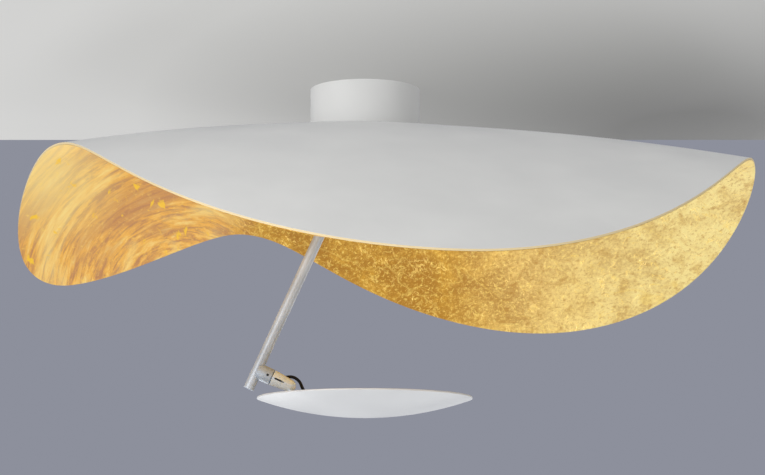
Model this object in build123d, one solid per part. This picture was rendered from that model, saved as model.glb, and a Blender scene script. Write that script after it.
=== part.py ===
from build123d import *
import os
from math import atan2, ceil, cos, degrees, hypot, pi, radians, sin, sqrt, tan

# Ceiling light: a canopy, a waved sheet shade, a slanted stem and a dish of light on a ball joint.
# Millimetres, +Z up. The origin is the centre of the ceiling contact plane, and the light hangs below it.
# +X is to the right and +Y away from someone who faces the near lobe of the shade.

# Common clearances
thread_clearance = 0.05
running_clearance = 0.05
running_gap = 0.1
seat_gap = 0.1
hole_clearance = 0.3

# Canopy
canopy_radius = 73.5
canopy_height = 58.0
canopy_wall = 1.5
canopy_floor = 2.5
canopy_edge_round = 1.0
canopy_screw_drop = 10.0
canopy_screw_bearings = (30, 90, 150)

# Ceiling bracket
bracket_radius = 62.0
bracket_thickness = 2.0
bracket_slot_spacing = 84.0
bracket_slot_length = 14.0
bracket_slot_width = 5.5
bracket_cable_hole_radius = 7.0
bracket_cable_hole_offset = 22.0
ear_width = 16.0
ear_drop = 18.0
ear_root = 6.0

# Canopy screws
canopy_screw_radius = 2.0
canopy_screw_length = 8.0
canopy_screw_head_radius = 3.6
canopy_screw_head_height = 2.2

# Small screws
small_screw_radius = 1.5
small_screw_head_radius = 2.8
small_screw_head_height = 1.8
socket_recess_share = 0.45
socket_recess_depth = 0.9

# Driver and terminals on the canopy floor
driver_length = 76.0
driver_width = 26.0
driver_height = 24.0
driver_offset = 27.0
driver_edge_round = 1.5
driver_tab_length = 6.0
driver_tab_thickness = 2.0
terminal_length = 30.0
terminal_width = 16.0
terminal_height = 16.0
terminal_offset = 36.0
terminal_poles = 3
terminal_pitch = 9.0
terminal_well_radius = 2.2
terminal_well_depth = 9.0
terminal_screw_height = 4.0
terminal_lug_thickness = 2.0
clamp_bar_length = 26.0
clamp_bar_width = 8.0
clamp_bar_thickness = 3.0
clamp_screw_spacing = 17.0
clamp_bar_offset = 40.0
earth_screw_bearing = 55.0
earth_screw_offset = 48.0
earth_washer_radius = 4.5
earth_washer_thickness = 0.8

# Shade sheet: each station is its bearing in degrees, its drop below the hub and its plan reach
shade_thickness = 2.5
shade_flat_radius = 60.0
shade_fall_power = 1.6
lining_gap = 0.2
lining_thickness = 0.4
shade_grid_step = 25.0
shade_outline_step = 6
near_lobe = (-79.5, 243.5, 600.0)
right_tip = (-11.0, 58.5, 517.0)
far_lobe = (60.0, 210.5, 580.0)
far_crest = (120.0, 86.5, 360.0)
left_lobe = (155.0, 174.5, 490.0)
left_tip = (204.5, 52.5, 437.0)
shade_stations = (near_lobe, right_tip, far_lobe, far_crest, left_lobe, left_tip)

# Hub that clamps the shade to the canopy
gasket_radius = 40.0
gasket_thickness = 1.0
bush_sleeve_radius = 12.0
bush_flange_radius = 45.0
bush_flange_thickness = 3.0
bush_thread_above_nut = 2.0
lock_nut_flats = 36.0
lock_nut_height = 6.0
swivel_washer_radius = 28.0
swivel_washer_thickness = 0.5

# Swivelling knuckle
spindle_radius = 6.0
spindle_bore_radius = 3.5
spindle_above_nut = 1.0
spindle_spring_radius = 11.0
spindle_spring_thickness = 1.5
spindle_nut_flats = 19.0
spindle_nut_height = 7.0
knuckle_flange_radius = 30.0
knuckle_flange_thickness = 4.0
knuckle_boss_radius = 12.0
knuckle_boss_end = 38.5
knuckle_chamber_start = 4.5
knuckle_edge_round = 1.2

# Stem, measured along its axis from the point where it meets the canopy axis
stem_apex_drop = 65.4
stem_slant = 24.5
stem_radius = 7.0
stem_bore_radius = 5.0
stem_start = 16.5
stem_end = 371.0
stem_plug_length = 8.0
stem_plug_recess = 0.6
grub_screw_radius = 2.0
grub_screw_station = 26.5

# Side block on the stem, measured square to the stem from its axis
block_station = 344.4
block_radius = 10.6
block_start = 1.0
block_face = 21.8
block_passage_radius = 3.0
block_edge_round = 0.5
set_screw_radius = 1.7
set_screw_reach = 16.1
set_screw_recess = 0.8

# Slotted ball socket
socket_gap = 1.2
socket_radius = 10.6
socket_end_radius = 8.4
ball_past_barrel = 4.5
spigot_radius = 5.0
spigot_length = 9.7
spigot_bore_radius = 2.6
spigot_groove_radius = 3.9
spigot_groove_width = 4.0
spigot_tip_gap = 0.25
socket_chamber_radius = 6.2
socket_back_wall = 1.8
spring_stack = 4.55
socket_slot_width = 2.3
socket_slot_length = 13.8
socket_slot_inset = 3.1
socket_slot_bearing = 1.0
lead_exit_bearing = 9.5
insert_radius = 6.0
insert_end_gap = 1.5
insert_wire_depth = 2.0
lead_start_radius = 2.5
ball_radius = 7.0
ball_reach = 49.3
ring_lip = 2.0
ring_lip_radius = 7.4
cup_wall = 1.4
cup_overlap = 3.9
disc_spring_count = 4
disc_spring_thickness = 0.5
disc_spring_rise = 0.6
disc_spring_bore_radius = 3.4

# Ball stud
neck_radius = 4.0
stud_base_radius = 7.3
stud_base_height = 4.0
stud_shank_radius = 3.0
stud_washer_radius = 8.0
stud_washer_thickness = 1.0
stud_nut_flats = 10.0
stud_nut_height = 4.0
stud_thread_end = 0.4
tilt_up = 40.0
tilt_down = 8.0

# Dish of light
dish_rim_drop = 416.5
dish_radius = 142.5
stud_rim_inset = 44.5
dish_depth = 24.0
dish_wall = 1.5
dish_rim_width = 2.0
dish_rim_rise = 1.8
dish_rim_round = 0.5
plate_thickness = 1.5
window_rim_inset = 70.5
plate_gap = 0.1
post_count = 6
post_rim_inset = 18.5
post_radius = 3.5
post_first_bearing = 30.0
stiffener_length = 32.0
stiffener_width = 30.0
stiffener_thickness = 2.5

# Light engine in the dish
sink_wall = 3.0
sink_floor = 3.0
sink_height = 13.0
sink_window_margin = 5.0
sink_tab_reach = 9.0
sink_tab_width = 12.0
sink_tab_thickness = 2.0
sink_tab_count = 4
sink_tab_first_bearing = 45.0
board_side_gap = 2.0
board_thickness = 1.6
emitter_length = 3.5
emitter_width = 2.8
emitter_height = 0.7
emitter_rings = ((38.0, 10), (14.0, 18))
reflector_wall = 1.0
reflector_side_gap = 2.5
reflector_flare = 4.5
diffuser_step = 1.8
diffuser_flange_thickness = 1.2
diffuser_gasket_thickness = 0.5
retainer_thickness = 1.5
retainer_width = 3.0

# Leads
lead_radius = 2.1
wire_radius = 0.9
wire_spread = 1.0
bend_share = 0.45
grommet_radius = 3.4
grommet_height = 0.6
gland_radius = 4.6
gland_height = 2.0
gland_nib_radius = 3.3
gland_nib_height = 2.2
lead_landing_reach = 18.4
lead_landing_side = 13.0
jumper_first_reach = 16.2
jumper_middle_points = (
    (-106.5, 23.4, -385.4),
    (-95.4, 23.5, -384.6),
    (-86.7, 21.9, -391.3),
    (-83.4, 14.3, -400.1),
)
jumper_last_rise = 8.1
driver_lead_bend = 18.0
driver_lead_crown = 8.0
driver_lead_turns = 4
mains_lead_level = 7.5
mains_lead_start = 9.0
mains_lead_stop = 25.0
mains_lead_straight = 11.5
stem_wire_bend = 6.6
stem_wire_side = 2.9
stem_wire_drop = 68.0
led_wire_bend = 6.2
small_bend_turns = 3
led_wire_end_inset = 2.5

# Levels worked out from the sizes above
floor_top = -(canopy_height - canopy_floor)
gasket_top = -canopy_height
shade_top = gasket_top - gasket_thickness - seat_gap
shade_base = shade_top - shade_thickness
bush_flange_top = shade_base - lining_gap - lining_thickness - seat_gap
swivel_washer_top = bush_flange_top - bush_flange_thickness
knuckle_top = swivel_washer_top - swivel_washer_thickness - running_gap
bush_top = floor_top + lock_nut_height + bush_thread_above_nut
spindle_nut_base = bush_top + running_gap + spindle_spring_thickness
spindle_top = spindle_nut_base + spindle_nut_height + spindle_above_nut
canopy_inner_radius = canopy_radius - canopy_wall
ear_face = sqrt(canopy_inner_radius**2 - (ear_width / 2) ** 2) - hole_clearance

# Stem, socket and dish frames
stem_axis = Vector(-sin(radians(stem_slant)), 0, -cos(radians(stem_slant)))
arm_axis = Vector(cos(radians(stem_slant)), 0, -sin(radians(stem_slant)))
stem_apex = Vector(0, 0, -stem_apex_drop)
stem_plane = Plane(origin=stem_apex, x_dir=arm_axis, z_dir=stem_axis)
arm_origin = stem_apex + stem_axis * block_station
arm_plane = Plane(origin=arm_origin, x_dir=stem_axis, z_dir=arm_axis)
ball_centre = arm_origin + arm_axis * ball_reach
socket_start = block_face + socket_gap
socket_end = ball_reach - ball_past_barrel
seat_radius = ball_radius + running_clearance
shoulder_reach = ball_reach - seat_radius - cup_wall - spring_stack
lead_exit_reach = (socket_start + socket_back_wall + shoulder_reach) / 2
lead_landing = (ball_centre.X + lead_landing_reach, lead_landing_side)
rim_level = -dish_rim_drop
plate_base = rim_level
plate_top = plate_base + plate_thickness
plate_radius = dish_radius - dish_rim_width - plate_gap
dish_place = Pos(ball_centre.X + dish_radius - stud_rim_inset, 0, 0)
post_circle_radius = dish_radius - post_rim_inset
dish_sphere_radius = (dish_radius**2 + dish_depth**2) / (2 * dish_depth)
dish_sphere_level = rim_level - dish_depth + dish_sphere_radius
sink_base = plate_base - sink_height
board_base = sink_base + sink_floor
board_top = board_base + board_thickness
diffuser_flange_top = plate_base - diffuser_gasket_thickness
diffuser_flange_base = diffuser_flange_top - diffuser_flange_thickness
plate_window_radius = dish_radius - window_rim_inset
diffuser_radius = plate_window_radius - hole_clearance
sink_radius = plate_window_radius + sink_window_margin
sink_inner_radius = sink_radius - sink_wall
board_radius = sink_inner_radius - board_side_gap
reflector_top_radius = sink_inner_radius - reflector_wall - reflector_side_gap
reflector_foot_radius = reflector_top_radius - reflector_flare
led_wire_reach = board_radius - led_wire_end_inset
led_wire_level = board_top + wire_radius
spigot_start = block_face - spigot_length
screw_grip = 3 * small_screw_radius


def write_part(name, shape):
    """Write one named piece to its own STEP file."""
    export_step(shape, f"parts/{name}.step")


def write_group(name, shapes):
    """Write several like solids as one named piece."""
    export_step(Compound(children=list(shapes)), f"parts/{name}.step")


def drum(radius, low, high, hole=0.0):
    """Upright cylinder between two levels, with an optional bore."""
    body = Pos(0, 0, (low + high) / 2) * Cylinder(radius, high - low)
    if hole > 0:
        body -= Pos(0, 0, (low + high) / 2) * Cylinder(hole, high - low)
    return body


def along(plane, radius, start, stop, right=0.0, forward=0.0):
    """Cylinder along the plane's normal, from one distance to another."""
    middle = (start + stop) / 2
    return plane * Pos(right, forward, middle) * Cylinder(radius, stop - start)


def hexagon(flats, low, high, hole):
    """Upright hexagonal nut between two levels."""
    sketch = RegularPolygon(flats / 2, 6, major_radius=False) - Circle(hole)
    return extrude(Pos(0, 0, low) * sketch, high - low)


def at_bearing(shape, bearing):
    """Turn a shape about the canopy axis."""
    return Rot(0, 0, bearing) * shape


def screw(radius, length, head_radius, head_height):
    """Socket screw with its head on the origin plane, head up and shank down."""
    body = drum(head_radius, 0, head_height) + drum(radius, -length, 0)
    rim = body.edges().filter_by(GeomType.CIRCLE).sort_by(Axis.Z)[-1]
    body = fillet(rim, head_height / 3)
    recess = RegularPolygon(head_radius * socket_recess_share, 6)
    return body - extrude(Pos(0, 0, head_height - socket_recess_depth) * recess, head_height)


def bend_corners(centre, radius, first, last, turns):
    """Corners of the straight runs round an arc, in the plane of one level axis and the upright."""
    step = (last - first) / turns
    reach = radius / cos(radians(step / 2))
    angles = [radians(first + step * (index + 0.5)) for index in range(turns)]
    return [(centre[0] + reach * cos(angle), centre[1] + reach * sin(angle)) for angle in angles]


def tube_path(points):
    """Straight runs joined by the largest tangent arcs that the runs allow."""
    places = [Vector(point) for point in points]
    radii = []
    for before, corner, after in zip(places, places[1:], places[2:]):
        turn = (corner - before).get_angle(after - corner)
        shorter = min((corner - before).length, (after - corner).length)
        radii.append(bend_share * shorter / tan(radians(turn / 2)))
    return FilletPolyline(*places, radius=radii), radii


def tube(points, radius, label):
    """Round tube along a path of points. Prints its bend radii and its volume against its length."""
    path, radii = tube_path(points)
    section = Plane(origin=path @ 0, z_dir=path % 0) * Circle(radius)
    body = sweep(section, path=path)
    share = body.volume / (pi * radius**2 * path.length)
    print(label, "radii", [round(value, 1) for value in radii], "length", round(path.length, 1), round(share, 4))
    return body


# Ceiling side


def ceiling_bracket():
    """Plate against the ceiling with two keyed slots and three threaded ears."""
    body = drum(bracket_radius, -bracket_thickness, 0)
    for side in (-1, 1):
        slot = SlotOverall(bracket_slot_length, bracket_slot_width)
        body -= extrude(Pos(side * bracket_slot_spacing / 2, 0, 0) * slot, -bracket_thickness)
    cable_hole = Cylinder(bracket_cable_hole_radius, 3 * bracket_thickness)
    body -= Pos(0, -bracket_cable_hole_offset, 0) * cable_hole
    tongue_start = bracket_radius - ear_root
    tongue_length = ear_face - tongue_start
    tongue = Box(tongue_length, ear_width, bracket_thickness)
    tongue = Pos(tongue_start + tongue_length / 2, 0, -bracket_thickness / 2) * tongue
    tab = Pos(ear_face - bracket_thickness / 2, 0, -ear_drop / 2) * Box(bracket_thickness, ear_width, ear_drop)
    hole = Pos(ear_face, 0, -canopy_screw_drop) * Rot(0, 90, 0)
    hole = hole * Cylinder(canopy_screw_radius + thread_clearance, 4 * bracket_thickness)
    for bearing in canopy_screw_bearings:
        body += at_bearing(tongue + tab, bearing)
        body -= at_bearing(hole, bearing)
    for place in clamp_screw_places():
        body -= Pos(*place, 0) * Cylinder(small_screw_radius + thread_clearance, 3 * bracket_thickness)
    earth_hole = Pos(earth_screw_offset, 0, 0) * Cylinder(small_screw_radius + thread_clearance, 3 * bracket_thickness)
    return body - at_bearing(earth_hole, earth_screw_bearing)


def canopy_cup():
    """Round cup that covers the ceiling outlet. Its floor carries the hub and the driver."""
    body = drum(canopy_radius, -canopy_height, 0)
    body = fillet(body.edges().filter_by(GeomType.CIRCLE).sort_by(Axis.Z)[0], canopy_edge_round)
    body -= drum(canopy_inner_radius, floor_top, 0)
    body -= drum(bush_sleeve_radius + hole_clearance, -canopy_height, floor_top)
    hole = Pos(canopy_radius, 0, -canopy_screw_drop) * Rot(0, 90, 0)
    hole = hole * Cylinder(canopy_screw_radius + hole_clearance, 4 * canopy_wall)
    for bearing in canopy_screw_bearings:
        body -= at_bearing(hole, bearing)
    for place in driver_screw_places() + terminal_screw_places():
        body -= Pos(*place, floor_top) * Cylinder(small_screw_radius + thread_clearance, 3 * canopy_floor)
    return body


def canopy_screws():
    """Screws through the canopy wall into the bracket's ears."""
    one = screw(canopy_screw_radius, canopy_screw_length, canopy_screw_head_radius, canopy_screw_head_height)
    seat = Pos(canopy_radius, 0, -canopy_screw_drop) * Rot(0, 90, 0) * one
    return [at_bearing(seat, bearing) for bearing in canopy_screw_bearings]


def clamp_screw_places():
    """Plan places of the cable clamp's two screws."""
    return [(side * clamp_screw_spacing / 2, -clamp_bar_offset) for side in (-1, 1)]


def cable_clamp():
    """Bar under the bracket that will grip the house cable."""
    bar = Box(clamp_bar_length, clamp_bar_width, clamp_bar_thickness)
    bar = fillet(bar.edges().filter_by(Axis.Z), clamp_bar_width / 4)
    body = Pos(0, -clamp_bar_offset, -bracket_thickness - clamp_bar_thickness / 2) * bar
    for place in clamp_screw_places():
        body -= Pos(*place, -bracket_thickness) * Cylinder(small_screw_radius + thread_clearance, 3 * clamp_bar_thickness)
    return body


def clamp_screws():
    """Two screws up through the clamp bar into the bracket."""
    one = screw(
        small_screw_radius,
        bracket_thickness + clamp_bar_thickness,
        small_screw_head_radius,
        small_screw_head_height,
    )
    head_level = -bracket_thickness - clamp_bar_thickness
    return [Pos(*place, head_level) * Rot(180, 0, 0) * one for place in clamp_screw_places()]


def earth_washer():
    """Washer under the earth screw's head."""
    low = -bracket_thickness - earth_washer_thickness
    ring = drum(earth_washer_radius, low, -bracket_thickness, small_screw_radius + thread_clearance)
    return at_bearing(Pos(earth_screw_offset, 0, 0) * ring, earth_screw_bearing)


def earth_screw():
    """Screw that holds the earth wire to the bracket."""
    one = screw(
        small_screw_radius,
        bracket_thickness + earth_washer_thickness,
        small_screw_head_radius,
        small_screw_head_height,
    )
    seat = Pos(earth_screw_offset, 0, -bracket_thickness - earth_washer_thickness) * Rot(180, 0, 0) * one
    return at_bearing(seat, earth_screw_bearing)


def driver_screw_places():
    """Plan places of the screws in the driver's end tabs."""
    reach = driver_length / 2 + driver_tab_length / 2
    return [(side * reach, driver_offset + driver_width / 2) for side in (-1, 1)]


def led_driver():
    """Potted driver on the canopy floor, with a screw tab at each end."""
    middle = driver_offset + driver_width / 2
    case = Box(driver_length, driver_width, driver_height)
    case = fillet(case.edges().filter_by(Axis.Z) + case.faces().sort_by(Axis.Z)[-1].edges(), driver_edge_round)
    body = Pos(0, middle, floor_top + driver_height / 2) * case
    tab = Box(driver_length + 2 * driver_tab_length, driver_width, driver_tab_thickness)
    body += Pos(0, middle, floor_top + driver_tab_thickness / 2) * tab
    for place in driver_screw_places():
        body -= Pos(*place, floor_top) * Cylinder(small_screw_radius + hole_clearance, 3 * driver_tab_thickness)
    return body


def driver_screws():
    """Two screws through the driver's tabs into the canopy floor."""
    one = screw(
        small_screw_radius,
        driver_tab_thickness + canopy_floor,
        small_screw_head_radius,
        small_screw_head_height,
    )
    return [Pos(*place, floor_top + driver_tab_thickness) * one for place in driver_screw_places()]


def terminal_screw_places():
    """Plan places of the two screws that hold the terminal block."""
    reach = terminal_length / 2 + small_screw_head_radius + hole_clearance
    return [(side * reach, -terminal_offset - terminal_width / 2) for side in (-1, 1)]


def terminal_block():
    """Three-pole terminal block with a lug at each end."""
    middle = -terminal_offset - terminal_width / 2
    case = Box(terminal_length, terminal_width, terminal_height)
    body = Pos(0, middle, floor_top + terminal_height / 2) * case
    lug_length = terminal_length + 4 * (small_screw_head_radius + hole_clearance)
    lug = Box(lug_length, terminal_width / 2, terminal_lug_thickness)
    body += Pos(0, middle, floor_top + terminal_lug_thickness / 2) * lug
    for place in terminal_screw_places():
        body -= Pos(*place, floor_top) * Cylinder(small_screw_radius + hole_clearance, 3 * terminal_lug_thickness)
    top = floor_top + terminal_height
    for place in terminal_pole_places():
        body -= Pos(*place, 0) * drum(terminal_well_radius, top - terminal_well_depth, top)
    return body


def terminal_pole_places():
    """Plan places of the terminal block's poles."""
    first = -terminal_pitch * (terminal_poles - 1) / 2
    middle = -terminal_offset - terminal_width / 2
    return [(first + index * terminal_pitch, middle) for index in range(terminal_poles)]


def terminal_screws():
    """Clamping screws at the bottom of the terminal block's wells."""
    low = floor_top + terminal_height - terminal_well_depth
    one = drum(terminal_well_radius - thread_clearance, low, low + terminal_screw_height)
    slot = Box(2 * terminal_well_radius, socket_recess_depth, 2 * socket_recess_depth)
    one -= Pos(0, 0, low + terminal_screw_height) * slot
    return [Pos(*place, 0) * one for place in terminal_pole_places()]


def terminal_block_screws():
    """Two screws through the terminal block's lugs into the canopy floor."""
    one = screw(
        small_screw_radius,
        terminal_lug_thickness + canopy_floor,
        small_screw_head_radius,
        small_screw_head_height,
    )
    return [Pos(*place, floor_top + terminal_lug_thickness) * one for place in terminal_screw_places()]


def mains_leads():
    """Live and neutral wires from the terminal block round the hub nut to the driver."""
    level = floor_top + mains_lead_level
    rise = mains_lead_stop - mains_lead_start
    first_corner = mains_lead_straight - terminal_offset
    points = [
        (mains_lead_start, -terminal_offset, level),
        (mains_lead_start, first_corner, level),
        (mains_lead_stop, first_corner + rise, level),
        (mains_lead_stop, driver_offset, level),
    ]
    right = tube(points, wire_radius, "mains lead")
    return [right, mirror(right, Plane.YZ)]


def driver_lead():
    """Output cable from the driver's top to the mouth of the spindle."""
    centre = (driver_lead_bend, -driver_lead_crown - driver_lead_bend)
    corners = bend_corners(centre, driver_lead_bend, 0, 180, driver_lead_turns)
    start = (0, 2 * driver_lead_bend, floor_top + driver_height)
    points = [start, *[(0, y, z) for y, z in corners], (0, 0, spindle_top)]
    return tube(points, lead_radius, "driver lead")


# Shade and hub


def station_blend(bearing, field):
    """Ease one field of the rim stations from each station to the next."""
    count = len(shade_stations)
    first = shade_stations[0][0]
    turned = (bearing - first) % 360
    for index, station in enumerate(shade_stations):
        following = shade_stations[(index + 1) % count]
        start = station[0] - first
        stop = following[0] - first if index < count - 1 else 360
        if start <= turned <= stop:
            share = 0.5 - 0.5 * cos(pi * (turned - start) / (stop - start))
            return station[field] + (following[field] - station[field]) * share
    return shade_stations[0][field]


def shade_height(x, y):
    """Level of the shade's underside above a plan point."""
    bearing = degrees(atan2(y, x))
    reach = station_blend(bearing, 2)
    share = max(0.0, (hypot(x, y) - shade_flat_radius) / (reach - shade_flat_radius))
    return shade_base - station_blend(bearing, 1) * share**shade_fall_power


def shade_outline():
    """Plan outline of the shade as one closed curve."""
    points = []
    for bearing in range(0, 360, shade_outline_step):
        reach = station_blend(bearing, 2)
        points.append((reach * cos(radians(bearing)), reach * sin(radians(bearing))))
    return make_face(Spline(*points, periodic=True))


def shade_underside():
    """Trimmed underside of the shade as one face."""
    reach = max(station[2] for station in shade_stations)
    steps = ceil(reach / shade_grid_step) + 1
    marks = [index * shade_grid_step for index in range(-steps, steps + 1)]
    grid = [[Vector(x, y, shade_height(x, y)) for y in marks] for x in marks]
    surface = Face.make_surface_from_array_of_points(grid, tol=seat_gap / 4, min_deg=3, max_deg=3)
    depth = 2 * max(station[1] for station in shade_stations)
    column = extrude(shade_outline(), -depth)
    return surface.intersect(column)[0]


def hub_hole():
    """Cutter for the hub's sleeve through the shade and its lining."""
    return drum(bush_sleeve_radius + hole_clearance, shade_base - shade_thickness, shade_top + shade_thickness)


def shade_shell(underside):
    """Waved sheet, flat where the hub clamps it and falling to three lobes between three crests."""
    return Solid.extrude(underside, Vector(0, 0, shade_thickness)) - hub_hole()


def shade_lining(underside):
    """Gold-leaf lining that follows the shade's underside."""
    top = underside.moved(Location((0, 0, -lining_gap)))
    return Solid.extrude(top, Vector(0, 0, -lining_thickness)) - hub_hole()


def shade_gasket():
    """Soft ring between the canopy floor and the shade."""
    return drum(gasket_radius, gasket_top - gasket_thickness, gasket_top, bush_sleeve_radius + hole_clearance)


def hub_bush():
    """Threaded sleeve whose flange carries the shade and whose bore guides the spindle."""
    flange_base = bush_flange_top - bush_flange_thickness
    body = drum(bush_flange_radius, flange_base, bush_flange_top) + drum(bush_sleeve_radius, flange_base, bush_top)
    return body - drum(spindle_radius + running_clearance, flange_base, bush_top)


def hub_lock_nut():
    """Nut on the canopy floor that clamps canopy, gasket and shade on the bush."""
    return hexagon(lock_nut_flats, floor_top, floor_top + lock_nut_height, bush_sleeve_radius + thread_clearance)


def swivel_washer():
    """Low-friction washer on which the knuckle turns."""
    low = swivel_washer_top - swivel_washer_thickness
    return drum(swivel_washer_radius, low, swivel_washer_top, spindle_radius + hole_clearance)


# Stem side


def stem_knuckle():
    """Spindle, flange and slanted boss in one turned piece."""
    flange_base = knuckle_top - knuckle_flange_thickness
    flange = drum(knuckle_flange_radius, flange_base, knuckle_top)
    flange = fillet(flange.edges().filter_by(GeomType.CIRCLE).sort_by(Axis.Z)[0], knuckle_edge_round)
    boss = along(stem_plane, knuckle_boss_radius, -knuckle_boss_radius, knuckle_boss_end)
    boss = fillet(boss.edges().filter_by(GeomType.CIRCLE).sort_by(Axis.Z)[0], knuckle_edge_round)
    boss -= drum(2 * knuckle_flange_radius, flange_base, 0)
    body = flange + boss + drum(spindle_radius, flange_base, spindle_top)
    body -= along(stem_plane, stem_radius + thread_clearance, knuckle_chamber_start, knuckle_boss_end + stem_radius)
    body -= drum(spindle_bore_radius, stem_apex.Z - knuckle_chamber_start - spindle_bore_radius, spindle_top)
    for side in (-1, 1):
        body -= grub_hole(side, grub_screw_radius + thread_clearance, knuckle_boss_radius + stem_radius)
    return body


def grub_hole(side, radius, reach):
    """Cylinder from the stem's surface outward at the grub screws' station."""
    start = stem_radius + thread_clearance
    one = Pos(0, side * (start + reach) / 2, grub_screw_station) * Rot(90, 0, 0) * Cylinder(radius, reach - start)
    return stem_plane * one


def stem_grub_screws():
    """Two grub screws that pin the stem in the knuckle."""
    screws = []
    for side in (-1, 1):
        body = grub_hole(side, grub_screw_radius, knuckle_boss_radius - socket_recess_depth)
        key = grub_hole(side, grub_screw_radius * socket_recess_share, knuckle_boss_radius)
        lowest = stem_radius + 2 * socket_recess_depth
        floor = stem_plane * Pos(0, side * lowest / 2, grub_screw_station) * Box(lowest, lowest, lowest)
        screws.append(body - (key - floor))
    return screws


def spindle_spring():
    """Wave spring between the bush and the spindle nut."""
    low = bush_top + running_gap
    return drum(spindle_spring_radius, low, low + spindle_spring_thickness, spindle_radius + running_clearance)


def spindle_nut():
    """Nut that keeps the knuckle up and sets its friction."""
    high = spindle_nut_base + spindle_nut_height
    return hexagon(spindle_nut_flats, spindle_nut_base, high, spindle_radius + thread_clearance)


def stem_tube():
    """Slanted steel tube with a hole in its side for the cable."""
    body = along(stem_plane, stem_radius, stem_start, stem_end)
    body -= along(stem_plane, stem_bore_radius, stem_start, stem_end)
    return body - along(arm_plane, block_passage_radius, 0, stem_radius + hole_clearance)


def stem_end_plug():
    """Dark plug in the stem's open end."""
    low = stem_end - stem_plug_recess
    return along(stem_plane, stem_bore_radius - thread_clearance, low - stem_plug_length, low)


def side_block():
    """Round block coped onto the stem, bored for the socket's spigot."""
    body = along(arm_plane, block_radius, block_start, block_face)
    body = fillet(body.edges().filter_by(GeomType.CIRCLE).sort_by(Axis.X)[-1], block_edge_round)
    body -= along(stem_plane, stem_radius + thread_clearance, block_station - 2 * block_radius, stem_end)
    body -= along(arm_plane, block_passage_radius, 0, block_face)
    body -= along(arm_plane, spigot_radius + running_clearance, spigot_start - spigot_tip_gap, block_face)
    return body - set_screw_body(set_screw_radius + thread_clearance, block_radius + set_screw_radius)


def set_screw_body(radius, reach):
    """Cylinder toward the front of the block, from the spigot's groove outward."""
    start = spigot_groove_radius + hole_clearance
    one = Pos(0, -(start + reach) / 2, set_screw_reach) * Rot(90, 0, 0) * Cylinder(radius, reach - start)
    return arm_plane * one


def block_set_screw():
    """Set screw whose tip rides in the spigot's groove and brakes its turning."""
    reach = block_radius - set_screw_recess
    body = set_screw_body(set_screw_radius, reach)
    key = Pos(0, -reach, set_screw_reach) * Rot(90, 0, 0) * Cylinder(set_screw_radius * socket_recess_share, 2 * socket_recess_depth)
    return body - arm_plane * key


def wire_pair(points, plane, label):
    """Two like wires side by side along a route in a plane."""
    pair = []
    for side in (-1, 1):
        shift = plane.z_dir * (side * wire_spread)
        pair.append(tube([Vector(*point) + shift for point in points], wire_radius, label))
    return pair


def stem_wires():
    """Two wires down the spindle and the stem, turned into the block's passage."""
    centre = (stem_wire_bend - stem_wire_side, stem_wire_bend - block_station)
    corners = bend_corners(centre, stem_wire_bend, 180, 270, small_bend_turns)
    bend = [stem_apex + arm_axis * across - stem_axis * down for across, down in corners]
    stop = arm_origin + arm_axis * (spigot_start - spigot_tip_gap)
    points = [Vector(0, 0, spindle_top), Vector(0, 0, -stem_wire_drop), *bend, stop]
    return wire_pair(points, Plane.XZ, "stem wire")


# Ball joint


def barrel(extra=0.0):
    """Tapered round body of the socket, plain and solid."""
    wide = socket_radius + extra
    narrow = socket_end_radius + extra
    profile = Polyline((0, socket_start), (wide, socket_start), (narrow, socket_end), (0, socket_end), close=True)
    return arm_plane * revolve(Plane.XZ * make_face(profile), Axis.Z)


def ball_socket():
    """Slotted barrel with a grooved spigot, a cable chamber and a bore for the springs and seat."""
    body = barrel() + along(arm_plane, spigot_radius, spigot_start, socket_start)
    groove_low = set_screw_reach - spigot_groove_width / 2
    groove = along(arm_plane, spigot_radius + running_clearance, groove_low, groove_low + spigot_groove_width)
    body -= groove - along(arm_plane, spigot_groove_radius, groove_low, groove_low + spigot_groove_width)
    body -= along(arm_plane, spigot_bore_radius, spigot_start, socket_start + socket_back_wall)
    body -= along(arm_plane, socket_chamber_radius, socket_start + socket_back_wall, shoulder_reach)
    body -= along(arm_plane, seat_radius, shoulder_reach, socket_end)
    slot_middle = socket_start + socket_slot_inset + socket_slot_length / 2
    slot = extrude(SlotOverall(socket_slot_length, socket_slot_width), 2 * socket_radius)
    slot = Pos(0, 0, slot_middle) * Rot(0, 0, socket_slot_bearing) * Rot(90, 0, 0) * Rot(0, 0, 90) * slot
    body -= arm_plane * slot
    return body - lead_exit(lead_radius + hole_clearance, 2 * socket_radius)


def lead_exit(radius, reach, start=0.0):
    """Cylinder from inside the barrel outward where the jumper lead leaves it."""
    one = Pos(0, 0, (start + reach) / 2) * Cylinder(radius, reach - start)
    turned = Rot(0, 0, lead_exit_bearing) * Rot(-90, 0, 0) * one
    return arm_plane * Pos(0, 0, lead_exit_reach) * turned


def lead_exit_point(reach):
    """Point on the axis of the jumper lead's exit hole."""
    turn = radians(lead_exit_bearing)
    centre = arm_origin + arm_axis * lead_exit_reach
    return centre - arm_plane.x_dir * (sin(turn) * reach) + arm_plane.y_dir * (cos(turn) * reach)


def lead_insert():
    """Insulating insert in the barrel, where the two wires end and the jumper lead begins."""
    low = socket_start + socket_back_wall
    body = along(arm_plane, insert_radius, low, shoulder_reach - insert_end_gap)
    for side in (-1, 1):
        body -= along(arm_plane, wire_radius + thread_clearance, low, low + insert_wire_depth, 0, side * wire_spread)
    return body - lead_exit(lead_radius + thread_clearance, socket_radius, lead_start_radius)


def socket_wires():
    """Two wires from the block through the spigot to the insert."""
    low = spigot_start + spigot_tip_gap
    high = socket_start + socket_back_wall + insert_wire_depth
    return [along(arm_plane, wire_radius, low, high, 0, side * wire_spread) for side in (-1, 1)]


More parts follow.
